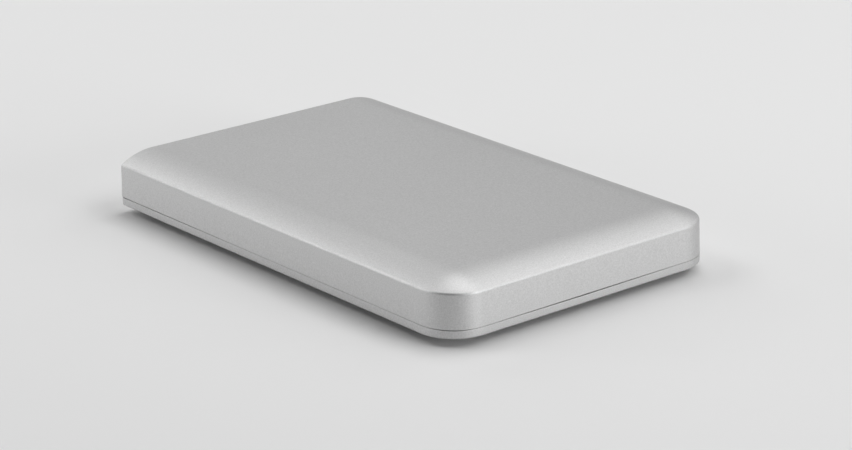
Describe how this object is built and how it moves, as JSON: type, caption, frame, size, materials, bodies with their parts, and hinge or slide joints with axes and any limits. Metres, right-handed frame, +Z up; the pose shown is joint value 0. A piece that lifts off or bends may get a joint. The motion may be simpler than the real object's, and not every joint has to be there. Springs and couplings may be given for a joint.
{
  "type": "portable external hard drive",
  "caption": "Slim portable hard drive: cast metal case with curved shoulders on three sides, flat rear end with a data port, feet below, and a disc drive with a swinging head arm inside.",
  "frame": {"origin": "centre of the object's footprint, on the surface that its feet stand on", "axes": "+Z up, +Y along the length towards the rear end with the port, +X across the width"},
  "size_m": [0.078, 0.12, 0.0144],
  "materials": {
    "case_metal": "fine bead-blasted silver-grey cast metal, matt",
    "rubber_black": "matt black rubber",
    "foam_grey": "dark grey closed-cell foam",
    "screw_steel": "zinc-plated steel",
    "clear_plastic": "clear moulded acrylic",
    "board_green": "green solder mask on glass-fibre board",
    "port_steel": "nickel-plated folded steel",
    "black_plastic": "black moulded plastic",
    "gold_contact": "gold-plated contact",
    "crystal_can": "drawn metal can",
    "ceramic_tan": "tan ceramic",
    "led_white": "white lens on a small package",
    "cast_alloy": "machined cast aluminium",
    "drive_lid": "pressed aluminium sheet",
    "bearing_steel": "ground stainless steel",
    "lamination_steel": "stacked electrical steel",
    "copper_wire": "enamelled copper winding",
    "magnet_dark": "bonded magnet",
    "disc_mirror": "polished coated disc",
    "head_ceramic": "dark lapped ceramic",
    "plate_nickel": "nickel-plated steel",
    "ramp_plastic": "ivory moulded plastic",
    "flex_amber": "amber polyimide film",
    "filter_white": "white filter felt"
  },
  "bodies": {
    "case": {"bottom_cover": "case_metal", "bridge_board": "board_green", "bridge_board_screws": "screw_steel", "bridge_chip": "black_plastic", "cache_chip": "black_plastic", "capacitors": "ceramic_tan", "case_screws": "screw_steel", "clock_crystal": "crystal_can", "coil_magnet": "plate_nickel", "controller_chip": "black_plastic", "cover_gasket": "rubber_black", "cover_screws": "screw_steel", "crash_stops": "rubber_black", "desiccant_pack": "filter_white", "drive_base": "cast_alloy", "drive_cover": "drive_lid", "flash_chip": "black_plastic", "flex_bracket": "black_plastic", "flex_cable": "flex_amber", "front_bumper": "rubber_black", "light_pipe": "clear_plastic", "load_ramp": "ramp_plastic", "logic_board": "board_green", "logic_board_screws": "screw_steel", "lower_magnet_plate": "plate_nickel", "lower_pads": "foam_grey", "motor_driver_chip": "black_plastic", "pivot_shaft": "bearing_steel", "plate_posts": "bearing_steel", "plug_contacts": "gold_contact", "power_inductor": "black_plastic", "ramp_screw": "screw_steel", "receptacle_contacts": "gold_contact", "recirculation_filter": "filter_white", "rubber_feet": "rubber_black", "sata_plug": "black_plastic", "sata_receptacle": "black_plastic", "side_bumpers": "rubber_black", "spindle_sleeve": "bearing_steel", "stator_coils": "copper_wire", "stator_core": "lamination_steel", "status_led": "led_white", "top_shell": "case_metal", "upper_magnet_plate": "plate_nickel", "upper_pads": "foam_grey", "usb_contacts": "gold_contact", "usb_insulator": "black_plastic", "usb_shell": "port_steel"},
    "spindle": {"spindle_hub": "cast_alloy", "rotor_magnet": "magnet_dark", "platter": "disc_mirror", "disc_clamp": "bearing_steel", "clamp_screws": "screw_steel"},
    "actuator": {"actuator_arm": "cast_alloy", "pivot_bearing": "bearing_steel", "voice_coil": "copper_wire", "suspensions": "bearing_steel", "head_sliders": "head_ceramic"}
  },
  "joints": [
    {"name": "spindle_spin", "type": "hinge", "parent": "case", "child": "spindle", "pos_m": [0, -0.02167, 0.0064], "axis": [0, 0, 1], "continuous": true},
    {"name": "actuator_swing", "type": "hinge", "parent": "case", "child": "actuator", "pos_m": [-0.019, 0.01522, 0.0084], "axis": [0, 0, -1], "range_deg": [0, 33.9]}
  ]
}
